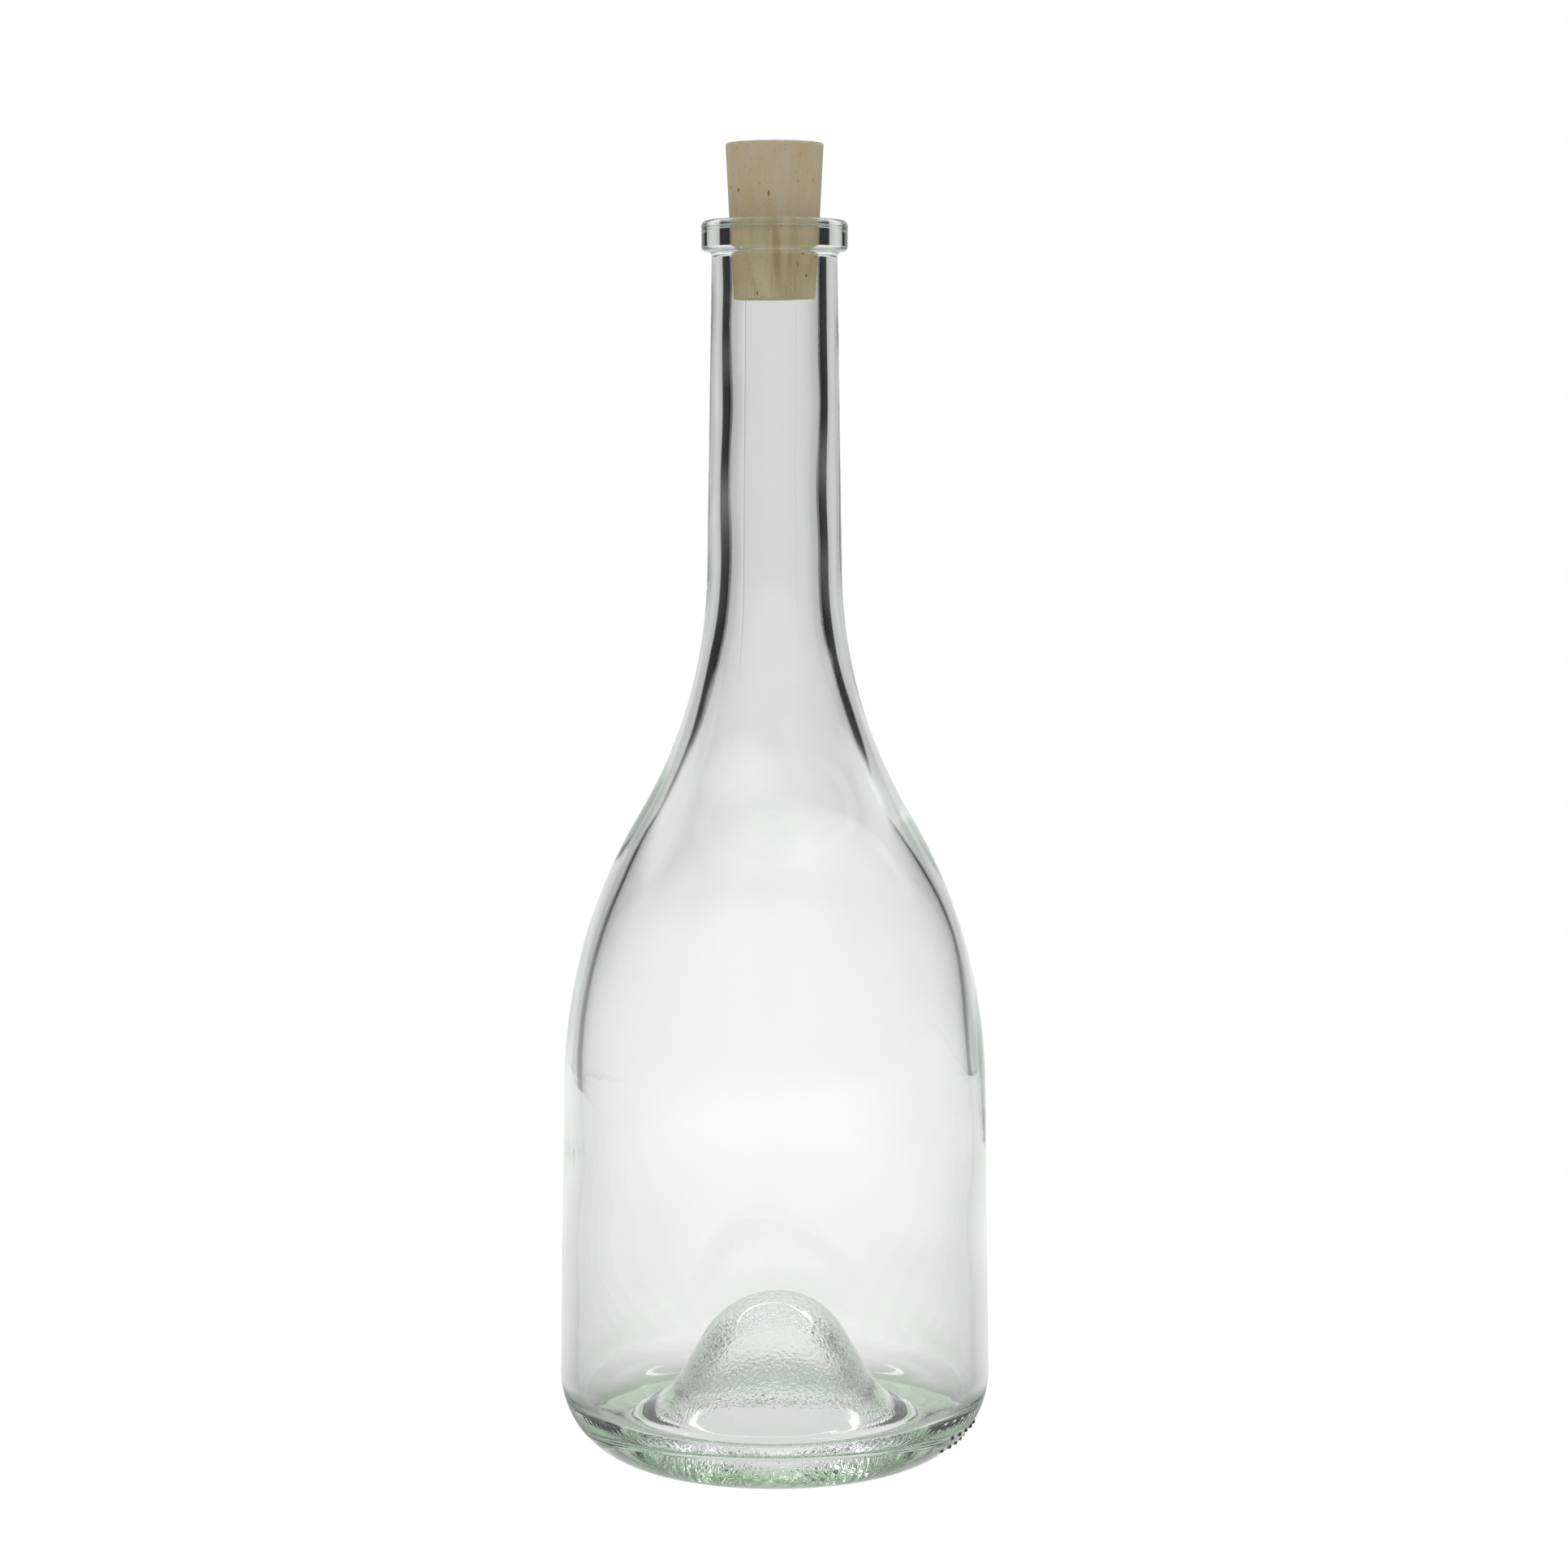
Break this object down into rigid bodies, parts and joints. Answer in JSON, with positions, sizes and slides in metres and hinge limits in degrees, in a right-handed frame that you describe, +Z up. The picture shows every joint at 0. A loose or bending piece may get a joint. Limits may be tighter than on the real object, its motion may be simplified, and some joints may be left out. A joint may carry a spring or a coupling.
{
  "type": "glass bottle with cork stopper",
  "caption": "Clear glass bottle with a long neck, round shoulders, banded lip and deep push-up, closed by a tapered cork that pulls out upwards.",
  "frame": {"origin": "centre of the ring that the bottle stands on, in the plane of the standing face", "axes": "+Z up the bottle's axis through the mouth, -Y towards the front mould face, +X to the side of the heel that carries the raised dots"},
  "size_m": [0.0848, 0.0848, 0.2576],
  "materials": {
    "clear_glass": "smooth clear soda glass with a faint green tint where it is thick",
    "natural_cork": "pale natural cork, fine upright grain with a few small dark pits"
  },
  "bodies": {
    "bottle": {"bottle": "clear_glass"},
    "stopper": {"cork_stopper": "natural_cork"}
  },
  "joints": [
    {"name": "stopper_pull", "type": "slide", "parent": "bottle", "child": "stopper", "axis": [0, 0, 1], "range_m": [0, 0.05]}
  ]
}
